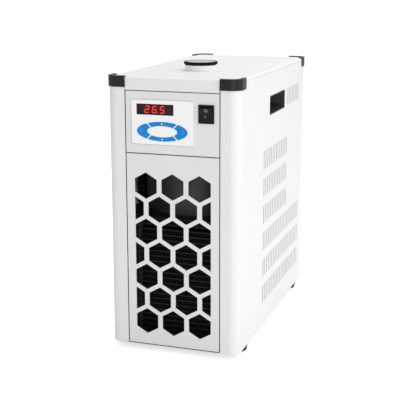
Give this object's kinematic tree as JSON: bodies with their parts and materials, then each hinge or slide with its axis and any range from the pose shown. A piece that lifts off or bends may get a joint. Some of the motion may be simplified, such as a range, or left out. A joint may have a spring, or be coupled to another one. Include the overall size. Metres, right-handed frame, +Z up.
{
  "type": "thermostatic water bath",
  "caption": "Bench-top circulating bath: an upright cabinet with a honeycomb grille, louvred sides, keypad, filler on top and a cooled, heated tank inside.",
  "frame": {"origin": "centre of the footprint, under the rubber feet", "axes": "+X to the right of the control panel as seen from the front, +Y from the front to the rear, +Z up"},
  "size_m": [0.2136, 0.46, 0.4463],
  "materials": {
    "cabinet_paint": "light grey powder coat, satin",
    "grille_paint": "pale grey powder coat, satin",
    "cap_plastic": "moulded, fine grain",
    "overlay_film": "printed film, satin",
    "key_blue": "gloss",
    "window_dark": "dark tinted, gloss",
    "switch_black": "moulded, semi gloss",
    "recess_black": "moulded, fine grain",
    "neck_white": "moulded, semi gloss",
    "cap_black": "moulded, fine grain",
    "disc_metal": "fine turned",
    "rubber_black": "matt",
    "galvanised": "zinc coated sheet",
    "stainless": "satin",
    "foam_dark": "closed-cell foam, matt",
    "copper": "drawn copper, slightly dull",
    "condenser_black": "thin black coat",
    "fin_metal": "thin rolled fins",
    "fan_plastic": "moulded",
    "motor_paint": "dark grey enamel",
    "compressor_paint": "black enamel",
    "hose_clear": "pale silicone",
    "board_green": "solder resist",
    "brass_nickel": "nickel plated",
    "lever_red": "dipped plastic",
    "inlet_black": "moulded",
    "pump_plastic": "glass-filled, moulded"
  },
  "bodies": {
    "cabinet": {"bath_tank": "stainless", "chassis_tray": "galvanised", "compressor": "compressor_paint", "compressor_mounts": "rubber_black", "condenser": "condenser_black", "condenser_fins": "fin_metal", "control_panel": "grille_paint", "controller_board": "board_green", "corner_cap_front_left": "cap_plastic", "corner_cap_front_right": "cap_plastic", "corner_cap_rear_left": "cap_plastic", "corner_cap_rear_right": "cap_plastic", "delivery_hose": "hose_clear", "discharge_line": "copper", "display_window": "window_dark", "drain_cock": "brass_nickel", "evaporator_coil": "copper", "fan_motor": "motor_paint", "fan_shroud": "fan_plastic", "filler_neck": "neck_white", "foot_front_left": "rubber_black", "foot_front_right": "rubber_black", "foot_rear_left": "rubber_black", "foot_rear_right": "rubber_black", "front_grille": "grille_paint", "handle_recess_left": "recess_black", "handle_recess_right": "recess_black", "heater": "stainless", "keypad_overlay": "overlay_film", "left_side_panel": "cabinet_paint", "liquid_line": "copper", "mains_inlet": "inlet_black", "outlet_spigot": "brass_nickel", "power_box": "galvanised", "pump_head": "pump_plastic", "pump_motor": "motor_paint", "rear_panel": "grille_paint", "return_hose": "hose_clear", "return_spigot": "brass_nickel", "right_side_panel": "cabinet_paint", "suction_hose": "hose_clear", "switch_housing": "switch_black", "tank_jacket": "foam_dark", "tank_lid": "stainless", "tank_shelf": "galvanised", "temperature_probe": "stainless", "terminal_cover": "inlet_black", "top_cover": "cabinet_paint", "vapour_line": "copper"},
    "rocker": {"switch_rocker": "switch_black"},
    "left_key": {"key_left": "key_blue"},
    "right_key": {"key_right": "key_blue"},
    "up_key": {"key_up": "key_blue"},
    "down_key": {"key_down": "key_blue"},
    "cap": {"filler_cap": "cap_black", "cap_disc": "disc_metal", "cap_gasket": "rubber_black"},
    "fan": {"fan_rotor": "fan_plastic"},
    "lever": {"drain_lever": "lever_red"}
  },
  "joints": [
    {"name": "mains_rocker", "type": "hinge", "parent": "cabinet", "child": "rocker", "pos_m": [0.0543, -0.22301, 0.3811], "axis": [-1, 0, 0], "range_deg": [0, 14]},
    {"name": "left_key_press", "type": "slide", "parent": "cabinet", "child": "left_key", "axis": [0, 1, 0], "range_m": [0, 0.0006], "stiffness_N_per_m": 250},
    {"name": "right_key_press", "type": "slide", "parent": "cabinet", "child": "right_key", "axis": [0, 1, 0], "range_m": [0, 0.0006], "stiffness_N_per_m": 250},
    {"name": "up_key_press", "type": "slide", "parent": "cabinet", "child": "up_key", "axis": [0, 1, 0], "range_m": [0, 0.0006], "stiffness_N_per_m": 250},
    {"name": "down_key_press", "type": "slide", "parent": "cabinet", "child": "down_key", "axis": [0, 1, 0], "range_m": [0, 0.0006], "stiffness_N_per_m": 250},
    {"name": "filler_cap_lift", "type": "slide", "parent": "cabinet", "child": "cap", "axis": [0, 0, 1], "range_m": [0, 0.04]},
    {"name": "fan_spin", "type": "hinge", "parent": "cabinet", "child": "fan", "pos_m": [0, -0.16001, 0.11085], "axis": [0, 1, 0], "continuous": true},
    {"name": "drain_lever_turn", "type": "hinge", "parent": "cabinet", "child": "lever", "pos_m": [0.025, 0.21374, 0.054], "axis": [0, 0, 1], "range_deg": [0, 90]}
  ]
}
